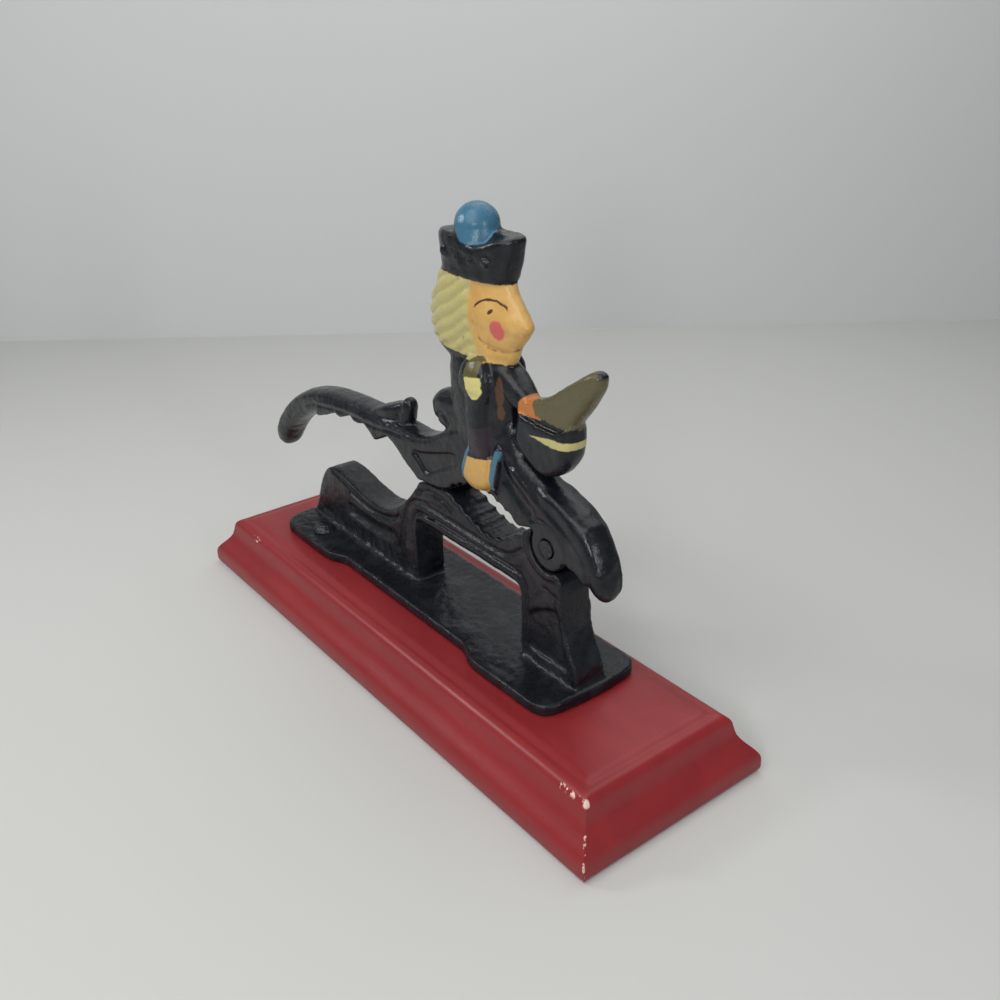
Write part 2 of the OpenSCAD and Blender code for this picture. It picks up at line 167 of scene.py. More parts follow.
# %% The start of a finish
class Finish:
    def __init__(self, name):
        self.material = bpy.data.materials.new(name)
        self.material.use_nodes = True
        self.tree = self.material.node_tree
        self.shader = self.tree.nodes["Principled BSDF"]
        place = add(self.tree, "ShaderNodeTexCoord").outputs["Object"]
        self.place = add(self.tree, "ShaderNodeVectorMath", {0: place, "Scale": 1 / MM},
                         operation="SCALE").outputs[0]
        axes = add(self.tree, "ShaderNodeSeparateXYZ", {0: self.place})
        self.x, self.y, self.z = (Num(self.tree, axes.outputs[i]) for i in range(3))

    def noise(self, size, detail=3.0, rough=0.5, stretch=None):
        """Cloudy noise from 0 to 1 whose lumps are about `size` mm."""
        place = self.place
        if stretch:
            place = add(self.tree, "ShaderNodeVectorMath", {0: place, 1: stretch},
                        operation="MULTIPLY").outputs[0]
        node = add(self.tree, "ShaderNodeTexNoise",
                   {"Vector": place, "Scale": 1 / size, "Detail": detail,
                    "Roughness": rough})
        return Num(self.tree, node.outputs["Fac"])

    def specks(self, size, radius):
        """1 inside scattered dots of `radius`, in cells of `size` mm."""
        node = add(self.tree, "ShaderNodeTexVoronoi",
                   {"Vector": self.place, "Scale": 1 / size})
        return Num(self.tree, node.outputs["Distance"]).below(radius / size, 0.08)

    def tint(self, mask, under, over):
        """The colour or socket `under`, with `over` laid on it where the mask is 1."""
        node = add(self.tree, "ShaderNodeMix", {0: mask, 6: under, 7: over},
                   data_type="RGBA")
        return node.outputs[2]

    def bump(self, height, depth, under=None):
        values = {"Height": height, "Strength": 1.0, "Distance": depth * MM}
        if under:
            values["Normal"] = under
        return add(self.tree, "ShaderNodeBump", values).outputs[0]

    def finish(self, **sockets):
        for label, value in sockets.items():
            plug = self.shader.inputs[label.replace("_", " ")]
            if isinstance(value, (Num, bpy.types.NodeSocket)):
                value = value.socket if isinstance(value, Num) else value
                self.tree.links.new(value, plug)
            else:
                plug.default_value = value
        print(self.material.name, len(self.tree.nodes), "nodes")
        return self.material


def wear(piece, material):
    piece.data.materials.clear()
    piece.data.materials.append(material)


print("finish helpers: Finish, wear")

# %% [markdown]
# ### Black enamel
#
# Enamel over a sand casting is nearly black, a little paler where it lies thin, and patchy
# in its gloss. Pebbles of under a millimetre could be modelled, at a cost of millions of
# faces, so three sizes of bump stand for slow lumps, pebbles and brush ripple.

# %% Black enamel
BLACK = (0.005, 0.006, 0.009, 1)
BLACK_THIN = (0.013, 0.014, 0.018, 1)


def black_coat(coat):
    """Colour of the black enamel: a little paler where it lies thin."""
    return coat.tint(coat.noise(7, 4).between(0.58, 0.8, 0.08), BLACK, BLACK_THIN)


def pebbled(coat, depth=1.0):
    """Bumps of the sand casting under the enamel: pebbles, slow lumps and brush ripple."""
    lumps = coat.bump(coat.noise(4.5, 2), 0.20 * depth)
    pebbles = coat.bump(coat.noise(0.9, 3, 0.6), 0.13 * depth, lumps)
    return coat.bump(coat.noise(0.4, 2), 0.05 * depth, pebbles)


def black_enamel(name):
    coat = Finish(name)
    rough = coat.noise(3, 3) * 0.26 + 0.16
    return coat.finish(Base_Color=black_coat(coat), Roughness=rough,
                       Normal=pebbled(coat), IOR=1.38)


bed_enamel = black_enamel("bed_enamel")
rosette_enamel = black_enamel("rosette_enamel")

# %% [markdown]
# ### The soldier's paint
#
# The soldier is one casting with the lever, so his colours are paint and not pieces. They
# could be given to faces, but then their edges would follow the mesh. Each colour is a zone
# of one material instead, laid over the same black. A zone is an outline in X and Z, or an
# ellipse or arc, so both sides of the figure get it. Its edge wanders by a few tenths of a
# millimetre, like brushwork.

# %% Brushes
def zone(x, z, corners, soft=0.15):
    """1 inside a convex outline of (x, z) corners given clockwise."""
    mask = None
    for (x0, z0), (x1, z1) in zip(corners, corners[1:] + corners[:1]):
        length = math.hypot(x1 - x0, z1 - z0)
        side = (x - x0) * ((z1 - z0) / length) - (z - z0) * ((x1 - x0) / length)
        mask = side if mask is None else mask.of("SMOOTH_MIN", side, 0.8)
    return mask.above(0, soft)


def ellipse(x, z, centre, radii, soft=0.12):
    return distance(x, z, *centre, *radii).below(1, soft)


def stroke(x, z, centre, radius, ends, half=0.3):
    """A thin arc about `centre`, between two values of X."""
    return (distance(x, z, *centre) - radius).of("ABSOLUTE").below(half, 0.12) \
        * x.between(*ends)


print("brushes: zone, ellipse, stroke")

# %% [markdown]
# The soldier's paint starts as the same black. The next cells lay one part's zones after
# the other over it, as a painter would, and the last one hands the result to the shader.

# %% The soldier's first coat
soldier = Finish("painted_lever")
wander = (soldier.noise(1.4, 2) - 0.5) * 0.8
brush = soldier.x + wander, soldier.y - MIDDLE, soldier.z + wander


def painted_over(under, zones):
    """The colour `under`, with each zone's colour laid on it where its mask is 1."""
    for mask, colour in zones(soldier, *brush):
        under = soldier.tint(mask, under, colour)
    print(zones.__name__, "laid on the soldier")
    return under


painted = black_coat(soldier)
print("first coat:", len(soldier.tree.nodes), "nodes")

# %% [markdown]
# The head is one field of skin colour, with the wig over its back. The wig's waves are both
# painted here and modelled in the skin further down, from the same two formulas, so that
# a painted shade, a darker hair colour, lies in the hollows.

# %% Face and wig
HAIR = (0.45, 0.40, 0.165, 1)
# painted shade: darker hair colour for the hollows between the wig's waves
HAIR_HOLLOW_SHADE = (0.28, 0.24, 0.09, 1)
SKIN = (0.60, 0.37, 0.125, 1)
SKIN_DEEP = (0.42, 0.23, 0.06, 1)
CHEEK = (0.50, 0.10, 0.09, 1)
BROWN = (0.075, 0.035, 0.018, 1)
WAVE = 2 * math.pi / 3.4            # the wig's waves, 3.4 mm from one to the next
HEAD_BOTTOM, HEAD_TOP, HEAD_FRONT = 107.6, 128.8, 46


def wig_front(z):
    """X of the wig's front edge at a height, for plain numbers and for nodes."""
    return (z - 121) ** 2 * 0.02 + 23.3


def across_waves(x, z, bend):
    """Turns across the wig's sloping waves; `bend` is the sine of half of x."""
    return (z * 0.863 - x * 0.505) * WAVE + bend * 0.5


def head_zones(coat, x, y, z):
    head = z.between(HEAD_BOTTOM, HEAD_TOP) * x.below(HEAD_FRONT)
    wig = head * (wig_front(z) - x).above(0)
    hollow = across_waves(x, z, (x * 0.5).of("SINE")).of("SINE").below(-0.55, 0.35)
    eye_x, eye_z = x - 31.4, z - 121.7
    eye = ellipse(eye_x * 0.8 + eye_z * 0.6, eye_z * 0.8 - eye_x * 0.6, (0, 0), (1.1, 0.5), 0.2)
    brow = stroke(x, z, (31.6, 117.3), 7.5, (26, 36.5)) * z.above(121.8)
    mouth = stroke(x, z, (33.4, 120.6), 9.6, (25.4, 38), 0.25) * z.below(117)
    return [
        (head, SKIN),
        (head * coat.noise(6, 3).between(0.5, 0.8, 0.15) * 0.6, SKIN_DEEP),
        (head * ellipse(x, z, (33.6, 117.1), (2.3, 2.7)), CHEEK),
        (head * brow, BROWN),
        (head * eye, BROWN),
        (head * mouth * coat.noise(1.5).above(0.5, 0.1) * 0.7, BROWN),
        (wig, HAIR),
        # painted shade in the hollows between the wig's waves
        (wig * hollow * 0.35, HAIR_HOLLOW_SHADE),
        (wig * coat.specks(6, 0.3), BROWN),
    ]


painted = painted_over(painted, head_zones)

# %% [markdown]
# The coat itself stays black. What shows on it is an epaulette with its yellow fringe, a
# plum sleeve, the hand below it, the chest braid and the two blue edges beside the hand.
# All but the braid lie on what stands proud of the body, so their masks also ask how far
# out a point is.

# %% Coat and hand
GOLD = (0.095, 0.08, 0.03, 1)
FRINGE = (0.56, 0.51, 0.20, 1)
HAND = (0.52, 0.31, 0.09, 1)
BLUE = (0.06, 0.14, 0.20, 1)
PLUM = (0.020, 0.013, 0.020, 1)


def uniform_zones(coat, x, y, z):
    """Epaulettes, sleeves, hands, chest braid and the blue edges of the coat."""
    out = y.of("ABSOLUTE")
    sleeve = out.above(4.6)
    left_edge = (x - z * 0.36 + 6.3).of("ABSOLUTE").below(0.9) * z.between(71, 83)
    right_edge = (x - z * 0.16 - 21.4).of("ABSOLUTE").below(1.1) * z.between(72, 84)
    return [
        (sleeve * zone(x, z, [(24.2, 79), (24.4, 88), (31.8, 90), (32.4, 79)]), PLUM),
        (sleeve * zone(x, z, [(24.4, 103), (24.6, 106.9), (26, 109), (29.2, 109),
                              (30, 103.6)]), GOLD),
        (sleeve * zone(x, z, [(25.2, 99.1), (24.8, 103.3), (30.6, 104.3), (31, 99.7),
                              (29.2, 97.7), (27, 97.3)]), FRINGE),
        (sleeve * zone(x, z, [(20.2, 70), (22, 79), (32.6, 80.6), (32.8, 73), (29, 69)]),
         HAND),
        (left_edge * out.above(5), BLUE),
        (right_edge * out.above(5), BLUE),
        (ellipse(x, z, (34.3, 100.4), (1.3, 4.2)), BROWN),
        (ellipse(x, z, (34.6, 94.6), (1.0, 2.2)), BROWN),
    ]


painted = painted_over(painted, uniform_zones)

# %% [markdown]
# The horn is held over the drum. Its green ends in a ragged brush edge towards the orange
# glove, and its mouth is black. The drum has one yellow stripe, which narrows to nothing at
# the arm. The ball on the hat is blue, and the blue has run over the hat's near rim.

# %% Horn, drum and ball
GLOVE = (0.42, 0.15, 0.035, 1)
HORN = (0.095, 0.083, 0.04, 1)
BALL = (0.045, 0.14, 0.22, 1)
STRIPE_START = 46.5                 # X where the arm ends and the drum's stripe begins
BALL_PLACE = (20.7, 141.8)          # X and Z of the ball's centre
BALL_REACH = 7.1                    # the blue goes this far from it
BALL_RUN = 0.35                     # and leans this far to the hinge per mm to the near side


def horn_zones(coat, x, y, z):
    rise = (x - STRIPE_START) * 0.06
    taper = ((x - STRIPE_START) / 8).of("MINIMUM", 1)
    stripe = (z - rise - 91.9).of("ABSOLUTE") - taper * 1.05
    ragged = coat.noise(2.4, 2) * 2.6 - 1.3
    low = z - ragged - (x - 48) * 0.02 - 97.0
    return [
        (zone(x, z, [(40.6, 96.4), (41, 99.4), (44, 102.6), (49.5, 104.6), (50, 96.6)]),
         GLOVE),
        (low.above(0) * (x + z * 0.35 - 81.6).above(0) * x.above(44.5), HORN),
        (ellipse(x, z, (71, 114.4), (2.4, 1.8), 0.3), BLACK),
        (stripe.below(0, 0.15) * x.above(46.6), HAIR),
    ]


def ball_zones(coat, x, y, z):
    """The ball, with its blue run a little way over the hat's rim."""
    ball_x, ball_z = BALL_PLACE
    reach = ((x - ball_x + y * BALL_RUN) ** 2 + y ** 2 + (z - ball_z) ** 2).of("SQRT")
    return [(reach.below(BALL_REACH), BALL)]


painted = painted_over(painted_over(painted, horn_zones), ball_zones)
lever_paint = soldier.finish(Base_Color=painted, Roughness=soldier.noise(3, 3) * 0.24 + 0.14,
                             Normal=pebbled(soldier, 0.7), IOR=1.42)

# %% [markdown]
# ### Red enamel
#
# The board's red lies thick and glossy, with soft brush streaks along it. It has chipped to
# a pale primer on the near right corner and along the edge beside it, and got one scuff
# near the left end. Wear could follow the edges everywhere, but the photograph shows just
# these places, so each is a small shape, broken up by noise.

# %% Red enamel
RED = (0.26, 0.020, 0.024, 1)
RED_DEEP = (0.22, 0.016, 0.020, 1)
PRIMER = (0.72, 0.52, 0.45, 1)
BARE_CORNER = (97.6, -26.1)         # X and Y of the chip that is always bare
RIDGE_Y, RIDGE_ENDS = -26.2, (88, 98)
SCUFF, SCUFF_RADII = (-81, -27), (2.6, 1.1)
MITRE_SUM = 71.5                    # X + Y along the edge of the near right corner
UPPER, LOWER = 16, 11               # the top edge lies over one height, the foot under the other


def chips(coat):
    """Chips down the near right corner and along its top edge, and a scuff at the left."""
    x, y, z = coat.x, coat.y, coat.z
    corner = distance(x, y, *BARE_CORNER).below(0.8, 0.2) * z.above(UPPER)
    upright = (x + y - MITRE_SUM).of("ABSOLUTE").below(0.4, 0.2) * x.above(97) * z.below(LOWER)
    ridge = (y - RIDGE_Y).of("ABSOLUTE").below(0.4, 0.2) * x.between(*RIDGE_ENDS) \
        * z.above(UPPER)
    scuff = ellipse(x, y, SCUFF, SCUFF_RADII, 0.4) * z.above(UPPER)
    worn = upright.of("MAXIMUM", ridge).of("MAXIMUM", scuff)
    return (worn * coat.noise(1.6, 3).above(0.54, 0.03)).of("MAXIMUM", corner)


def red_enamel():
    coat = Finish("red_enamel")
    streaks = coat.noise(9, 4, stretch=(0.25, 1, 1))
    colour = coat.tint(streaks.between(0.4, 0.75, 0.15), RED, RED_DEEP)
    chipped = chips(coat)
    colour = coat.tint(chipped, colour, PRIMER)
    rough = coat.noise(6, 3) * 0.16 + 0.28 + chipped * 0.4
    waves = coat.bump(coat.noise(16, 2, stretch=(0.4, 1, 1)), 0.25)
    peel = coat.bump(coat.noise(1.6, 2) - chipped * 3, 0.03, waves)
    return coat.finish(Base_Color=colour, Roughness=rough, Normal=peel, IOR=1.42)


board_red = red_enamel()

# %% [markdown]
# ## Stage
#
# The photograph shows a pale floor and a pale wall some way behind. One bright sky would
# light them evenly, but black enamel shows its shape only by what it reflects. So there
# are five soft lamps: a large key above, a fill on the floor and wall behind, and three
# small ones that give the window-like glints on the ball and along the castings' edges.

# %% Stage
FLOOR_GREY = (0.53, 0.53, 0.515, 1)
WALL_GREY = (0.57, 0.58, 0.58, 1)
FAR, TALL = 3000, 2500
WALL_FOOT = Vector((-265, 227, 0))
WALL_ALONG = Vector((0.607, 0.795, 0))
SKY, SKY_STRENGTH = (0.86, 0.95, 1, 1), 0.21
WHITE, WARM = (1, 1, 1), (1, 0.98, 0.94)
LAMPS = [
    # name, place and aim in mm, size in metres, watts, colour
    ("key", (100, -320, 510), (20, 0, 60), (0.5, 0.5), 2.0, WARM),
    ("fill", (-40, 190, 420), (-60, 140, 0), (0.4, 0.4), 0.7, WHITE),
    ("window", (-305, -325, 310), (20, 0, 90), (0.07, 0.10), 0.6, WHITE),
    ("glint", (330, -345, 240), (20, 0, 90), (0.07, 0.10), 0.55, WHITE),
    ("side", (540, -40, 230), (20, 0, 100), (0.05, 0.16), 0.45, WHITE),
]


def ground(name, corners, colour):
    mesh = bpy.data.meshes.new(name)
    mesh.from_pydata([Vector(c) * MM for c in corners], [], [(0, 1, 2, 3)])
    piece = bpy.data.objects.new(name, mesh)
    bpy.context.scene.collection.objects.link(piece)
    wear(piece, Finish("pale_" + name).finish(Base_Color=colour, Roughness=0.7))


def lamp(name, place, aim, size, power, colour):
    data = bpy.data.lights.new(name, "AREA")
    data.shape, data.size, data.size_y = "RECTANGLE", size[0], size[1]
    data.energy, data.color = power, colour
    piece = bpy.data.objects.new(name, data)
    piece.location = Vector(place) * MM
    piece.rotation_euler = (Vector(place) - Vector(aim)).to_track_quat("Z", "Y").to_euler()
    bpy.context.scene.collection.objects.link(piece)


def set_sky():
    world = bpy.data.worlds.new("world")
    world.use_nodes = True
    sky = world.node_tree.nodes["Background"].inputs
    sky["Color"].default_value, sky["Strength"].default_value = SKY, SKY_STRENGTH
    bpy.context.scene.world = world
    bpy.context.scene.view_settings.view_transform = "Standard"


ground("floor", [(-FAR, -FAR, 0), (FAR, -FAR, 0), (FAR, FAR, 0), (-FAR, FAR, 0)], FLOOR_GREY)
wall = [WALL_FOOT - WALL_ALONG * FAR, WALL_FOOT + WALL_ALONG * FAR]
wall += [corner + Vector((0, 0, TALL)) for corner in reversed(wall)]
ground("wall", wall, WALL_GREY)
set_sky()
for values in LAMPS:
    lamp(*values)
print("stage: floor, wall and", len(LAMPS), "lamps")

# %% [markdown]
# ## Skin of the castings
#
# A sand casting has no sharp corner. Bevels could round the solid's edges, but they fail
# where many curved faces meet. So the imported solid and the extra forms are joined, made
# into one skin by a voxel remesh, and softened. The extra forms are closed lofts: rings of
# points with a skin over them.

# %% Closed forms
def to_object(name, mesh):
    piece = bpy.data.objects.new(name, mesh)
    bpy.context.scene.collection.objects.link(piece)
    mesh.name = name
    return piece


def loft(bm, rings):
    """Closed skin over rings of (x, y, z) points, in mm from the castings' middle."""
    rows = [[bm.verts.new(Vector((x, y + MIDDLE, z)) * MM) for x, y, z in ring]
            for ring in rings]
    count = len(rows[0])
    for low, high in zip(rows, rows[1:]):
        for k in range(count):
            m = (k + 1) % count
            bm.faces.new((low[k], low[m], high[m], high[k]))
    bm.faces.new(list(reversed(rows[0])))
    bm.faces.new(rows[-1])


def slab(outline, half):
    """Rings of a flat piece: an outline of (x, z) points, `half` thick each way."""
    return [[(x, y, z) for x, z in outline] for y in (-half, half)]


def tube(points, radii, count=12):
    """Rings round a path of (x, y, z) points, each ring level with X and Y."""
    turns = [2 * math.pi * k / count for k in range(count)]
    return [[(x + r * math.cos(t), y + r * math.sin(t), z) for t in turns]
            for (x, y, z), r in zip(points, radii)]


print("form helpers: to_object, loft, slab, tube")

# %% [markdown]
# The soft skin is then worked like a wax pattern, by moving its points along their normals.
# The bore is opened a little afterwards, so that it clears the pin.

# %% One soft skin
BORE = 2.75                         # radius kept free round the pin


def merged(mesh):
    """The mesh as a bmesh with its doubles merged."""
    bm = bmesh.new()
    bm.from_mesh(mesh)
    bmesh.ops.remove_doubles(bm, verts=bm.verts, dist=1e-6)
    return bm


def closed(bm, mesh):
    """The bmesh written into `mesh`, with every face turned outwards."""
    bmesh.ops.recalc_face_normals(bm, faces=bm.faces)
    bm.to_mesh(mesh)
    bm.free()
    return mesh


def baked(piece):
    """The mesh of a piece with its modifiers applied; the piece itself is removed."""
    graph = bpy.context.evaluated_depsgraph_get()
    mesh = bpy.data.meshes.new_from_object(piece.evaluated_get(graph))
    bpy.data.objects.remove(piece)
    return mesh


def read(items, field):
    values = np.empty(len(items) * 3, np.float32)
    items.foreach_get(field, values)
    return values.reshape(-1, 3).astype(float)


def clear_of_pin(at):
    """The points, moved out to the bore's radius where they came too near the pin."""
    arm = at[:, [0, 2]] - PIVOT
    length = np.hypot(*arm.T)
    near = (length < BORE) & (length > 0.5)
    at[near[:, None] & [True, False, True]] = (
        PIVOT + arm[near] * (BORE / length[near])[:, None]).ravel()
    return at


def move_points(mesh, work):
    """Move the points by work(points, normals), in mm from the castings' middle plane."""
    co, normal = read(mesh.vertices, "co"), read(mesh.vertex_normals, "vector")
    at = co / MM - (0, MIDDLE, 0)
    at = clear_of_pin(at + work(at, normal)) + (0, MIDDLE, 0)
    mesh.vertices.foreach_set("co", (at * MM).ravel())
    mesh.update()


def cast_skin(name, node, extras, voxel, rounds, work):
    """Skin of a casting: the CAD node and extra lofts, remeshed, smoothed and worked."""
    bm = merged(cad[node].data)
    for rings in extras:
        loft(bm, rings)
    piece = to_object(name, closed(bm, bpy.data.meshes.new(name)))
    shell = piece.modifiers.new("skin", "REMESH")
    shell.mode, shell.voxel_size = "VOXEL", voxel * MM
    soften = piece.modifiers.new("soften", "SMOOTH")
    soften.factor, soften.iterations = 0.5, rounds
    mesh = baked(piece)
    move_points(mesh, work)
    mesh.shade_smooth()
    print(name, len(mesh.polygons), "faces")
    return to_object(name, mesh)


print("skin helpers: merged, closed, baked, read, clear_of_pin, move_points, cast_skin")

# %% [markdown]
# These tools work the skin. It could be sculpted by hand, but a script can't repeat a hand.
# All the tools take the points as arrays, so a hundred thousand points need only a moment.

# %% Lines on the skin
def ramp(value, start, width):
    """0 up to `start`, from there rising to 1 over `width`."""
    return np.clip((value - start) / width, 0, 1)


def bell(away, width):
    """1 where `away` is 0, fading softly over about `width` on each side."""
    return np.exp(-(away / width) ** 2)


def smooth(points, steps=4):
    """Catmull-Rom curve through the points, as a list of points."""
    p = [np.array(q, float) for q in points]
    p = [2 * p[0] - p[1]] + p + [2 * p[-1] - p[-2]]
    out = []
    for a, b, c, d in zip(p, p[1:], p[2:], p[3:]):
        for t in np.arange(steps) / steps:
            out.append(0.5 * (2 * b + (c - a) * t + (2 * a - 5 * b + 4 * c - d) * t * t
                              + (3 * b - 3 * c + d - a) * t ** 3))
    return out + [p[-2]]


def line_distance(x, z, points):
    """Distance of each (x, z) from the line through the points."""
    best = np.full(len(x), 99.0)
    for (x0, z0), (x1, z1) in zip(points, points[1:]):
        dx, dz = x1 - x0, z1 - z0
        t = np.clip(((x - x0) * dx + (z - z0) * dz) / (dx * dx + dz * dz), 0, 1)
        best = np.minimum(best, np.hypot(x - x0 - t * dx, z - z0 - t * dz))
    return best


def inside(x, z, outline):
    """True where (x, z) lies inside a closed outline."""
    hit = np.zeros(len(x), bool)
    for (x0, z0), (x1, z1) in zip(outline, outline[1:] + outline[:1]):
        if z0 != z1:
            hit ^= ((z0 > z) != (z1 > z)) & (x < (x1 - x0) * (z - z0) / (z1 - z0) + x0)
    return hit


print("line helpers: ramp, bell, smooth, line_distance, inside")

# %% [markdown]
# A stroke raises or sinks the skin along a line, and a panel sinks inside an outline. The
# lumps are two sizes of slow noise. They keep away from the hinge, where the lever and the
# bed pass each other closely.

# %% Grooves, panels and lumps
LUMP_HEIGHT = 0.16                  # slow lumps of the casting
BROAD, FINE = 0.16, 0.45            # how many of them to the millimetre, large and small


def drawn(x, z, strokes):
    """Height of the drawn lines: (half width, height, points), negative for a groove."""
    height = np.zeros(len(x))
    for half, rise, points in strokes:
        height += rise * bell(line_distance(x, z, smooth(points)), half)
    return height


def sunk(x, z, outline, depth, edge=0.8):
    """Depth of a sunk panel with sloped sides of width `edge`."""
    curve = smooth(outline + outline[:1])
    away = line_distance(x, z, curve)
    return -depth * ramp(away, 0, edge) * inside(x, z, [tuple(q) for q in curve])


def unevenness(at):
    """Slow lumps of the casting, none of them near the hinge."""
    free = ramp(np.hypot(at[:, 0] - PIVOT[0], at[:, 2] - PIVOT[1]), 9, 5)
    lumps = [noise.noise(Vector(p) * BROAD) + 0.6 * noise.noise(Vector(p) * FINE)
             for p in at]
    return LUMP_HEIGHT * free * np.array(lumps)


def on_side(normal):
    """1 on the flat sides of a casting, 0 on its edges."""
    return ramp(np.abs(normal[:, 1]), 0.4, 0.4)


print("wax tools: drawn, sunk, unevenness, on_side")

# %% [markdown]
# ### Bed
#
# Two grooves run round the window with a bead between them, and the outer one ends at the
# hub's seat. The left foot has two more. They could be cut from the solid, but on the real
# bed they are soft and shallow, like strokes of a finger. So they are strokes here too,
# each with its half width, its height and the points it passes.

# %% Strokes on the bed
BED_LINES = [
    # groove that leaves the left foot, runs over the arch and ends at the seat
    (0.7, -0.8, [(-20.8, 30), (-17.8, 40), (-15, 46.8), (-12.3, 50.1), (-8.6, 52),
                 (-2.9, 52.5), (12.3, 52.2), (27.6, 51.8), (34.4, 51.9), (39.1, 53.4),
                 (43.6, 56.8)]),
    # groove close round the window, and the bead on the window's edge
    (0.55, -0.7, [(-12.2, 27), (-11.8, 38), (-10.5, 44.7), (-7.6, 48), (0, 49),
                  (22, 49.1), (39, 49.2), (43.6, 48.2), (45.8, 44.6), (45.6, 36),
                  (45.2, 27)]),
    (1.0, 0.35, [(-11, 27), (-10.8, 38), (-9.4, 45), (-6, 47.2), (4, 47.2), (22, 47.3),
                 (38, 47.3), (42.6, 46.4), (44.6, 43), (44.4, 27)]),
    (1.1, 0.35, [(-16.4, 30), (-14.6, 40), (-12, 47), (-8, 50.2), (0, 50.7), (22, 50.5),
                 (38, 51), (44, 53)]),
    # strokes under the rim of the trough
    (1.0, -0.55, [(-7.6, 55.2), (-1.2, 57.8), (4.3, 58), (10.5, 56)]),
    (0.5, -0.3, [(-6.4, 52.9), (0, 54.3), (8, 54.4)]),
    # left foot
    (0.8, -0.6, [(-62.3, 43.6), (-54.1, 41.6), (-47.4, 40), (-40, 38.2), (-31, 38.2),
                 (-24, 40)]),
    (1.5, -0.5, [(-49, 31.2), (-37, 31.6), (-28.9, 32.4), (-23.4, 34)]),
    # hinge foot: edge of its panel and the step above
    (1.1, -0.35, [(50, 44), (54, 47.6), (58, 47.6)]),
    (0.7, 0.4, [(58, 46.8), (60.6, 43.8), (63, 38), (66, 30)]),
]
print(len(BED_LINES), "strokes on the bed")

# %% [markdown]
# The trough's floor is a little rough, and the casting is lumpiest at its wall's root.
# The foot plate's underside stays flat, because it lies on the board.

# %% Bed
WALL_START = 24                     # the strokes begin at this height
ROOT_HEIGHT, ROOT_REACH = 25, 2.5
FLAT_UNDER = 20.5                   # no lumps below this height


def in_trough(at, normal):
    """True on the upward face of the nut trough."""
    x, y, z = at.T
    return (x > 8) & (x < 46) & (z > 52) & (np.abs(y) < 5.4) & (normal[:, 2] > 0.3)


def work_bed(at, normal):
    x, y, z = at.T
    push = drawn(x, z, BED_LINES) * on_side(normal) * ramp(z, WALL_START, 1.2)
    root = 1 + 2 * bell(z - ROOT_HEIGHT, ROOT_REACH)
    push += unevenness(at) * root * (z > FLAT_UNDER)
    trough = in_trough(at, normal)
    bite = np.array([noise.noise(Vector(p) * 1.1) for p in at[trough]])
    push[trough] += 0.14 * bite - 0.05
    return normal * push[:, None]


bed = cast_skin("bed_skin", "bed_casting", [], 0.48, 7, work_bed)
wear(bed, bed_enamel)
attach(bed, "base")
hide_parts("bed_casting")

# %% [markdown]
# ### Lever and figure
#
# The lever gets a few raised forms that the solid lacks: a panel on its side and one on the
# neck, the bulb of the leaf behind the handle, and the coat's edges beside each hand. Each
# is a slab or tube that the remesh melts into the casting, as a weld of wax would.

# %% Raised forms on the lever
SIDE_PANEL = [(-24.8, 70.6), (-16, 65.9), (-8, 63.8), (0, 65), (8, 68.2), (15.4, 72),
              (13.4, 76.3), (6, 74.9), (-2, 70.9), (-12, 69.1)]
NECK_PANEL = [(34.6, 74.2), (41, 73.1), (47.6, 69.2), (49.4, 71.6), (44, 76), (36.6, 78)]
leaf_tip = tube([(-19, 0, 74.5), (-18.4, 0, 76.5), (-17.6, 0, 78.5), (-17.2, 0, 80.4),
                 (-17, 0, 82), (-17, 0, 83)], (3.0, 2.9, 2.6, 2.7, 2.2, 1.0))
leaf_root = tube([(-24, 0, 73.5), (-23.4, 0, 76), (-23, 0, 78.2), (-22.8, 0, 80)],
                 (3.4, 3.2, 2.8, 1.4))


def coat_edges():
    """The raised edges of the coat on both sides of each hand."""
    for side in (-1, 1):
        yield tube([(19.6, side * 6.2, 70.6), (20.8, side * 6.6, 75), (22.8, side * 6.4, 80),
                    (23.8, side * 6, 83.6)], (0.7, 1.4, 1.4, 0.7))
        yield tube([(33.2, side * 5.9, 70.6), (33.6, side * 6.2, 75), (34.2, side * 6.2, 80),
                    (34.8, side * 5.6, 84.8)], (0.7, 1.5, 1.5, 0.7))


lever_forms = [slab(SIDE_PANEL, 5.25), slab(NECK_PANEL, 5.0), leaf_tip, leaf_root,
               *coat_edges()]
print(len(lever_forms), "raised forms on the lever")

# %% [markdown]
# The lever's side carries one long sunk panel. Strokes draw the crease along the handle,
# the folds of the leaf, the ridge down the neck and the round back of the tail.

# %% Strokes on the lever
SUNK_PANEL = [(-9.3, 68.4), (-8.2, 70), (-4.1, 70.6), (4, 73.2), (12, 75.6), (15, 74),
              (14.5, 71.6), (6.4, 67.7), (0.4, 64.2), (-2.6, 63.6), (-5, 65)]
LEVER_LINES = [
    # crease between the handle's round back and its flat underside
    (0.6, -0.4, [(-92, 55.5), (-84, 61), (-73.9, 65.6), (-60, 68.2), (-46, 69.6),
                 (-33, 70), (-23, 71.4), (-16, 72)]),
    # folds of the leaf
    (0.7, -0.5, [(-24, 73.4), (-16, 74.4), (-8, 74.8)]),
    # dark hollow and bright ridge down the neck
    (2.0, -0.7, [(36.1, 80.5), (38.7, 75.6), (43.1, 72.1), (47.6, 69.8)]),
    (2.4, 0.4, [(38.6, 83), (42, 78.6), (47, 75.4), (54, 71.6), (60, 67.4)]),
    # round back of the tail
    (2.6, 0.7, [(54, 76), (58.4, 75.5), (64.2, 71.6), (69.8, 65.7), (74, 59.5),
                (75.4, 56.5)]),
    # shallow ring round the hub
    (0.5, -0.35, [(48, 67.6), (51.6, 69), (55.6, 69), (59.4, 67.4), (62, 63.6),
                  (62, 59.6)]),
    # curl of the bump behind the figure
    (0.7, -0.5, [(2, 81.6), (4.6, 85), (8, 86.4), (10.4, 84)]),
    # fold of the coat under the arm
    (0.8, -0.5, [(34, 88), (36, 92), (39, 96)]),
]
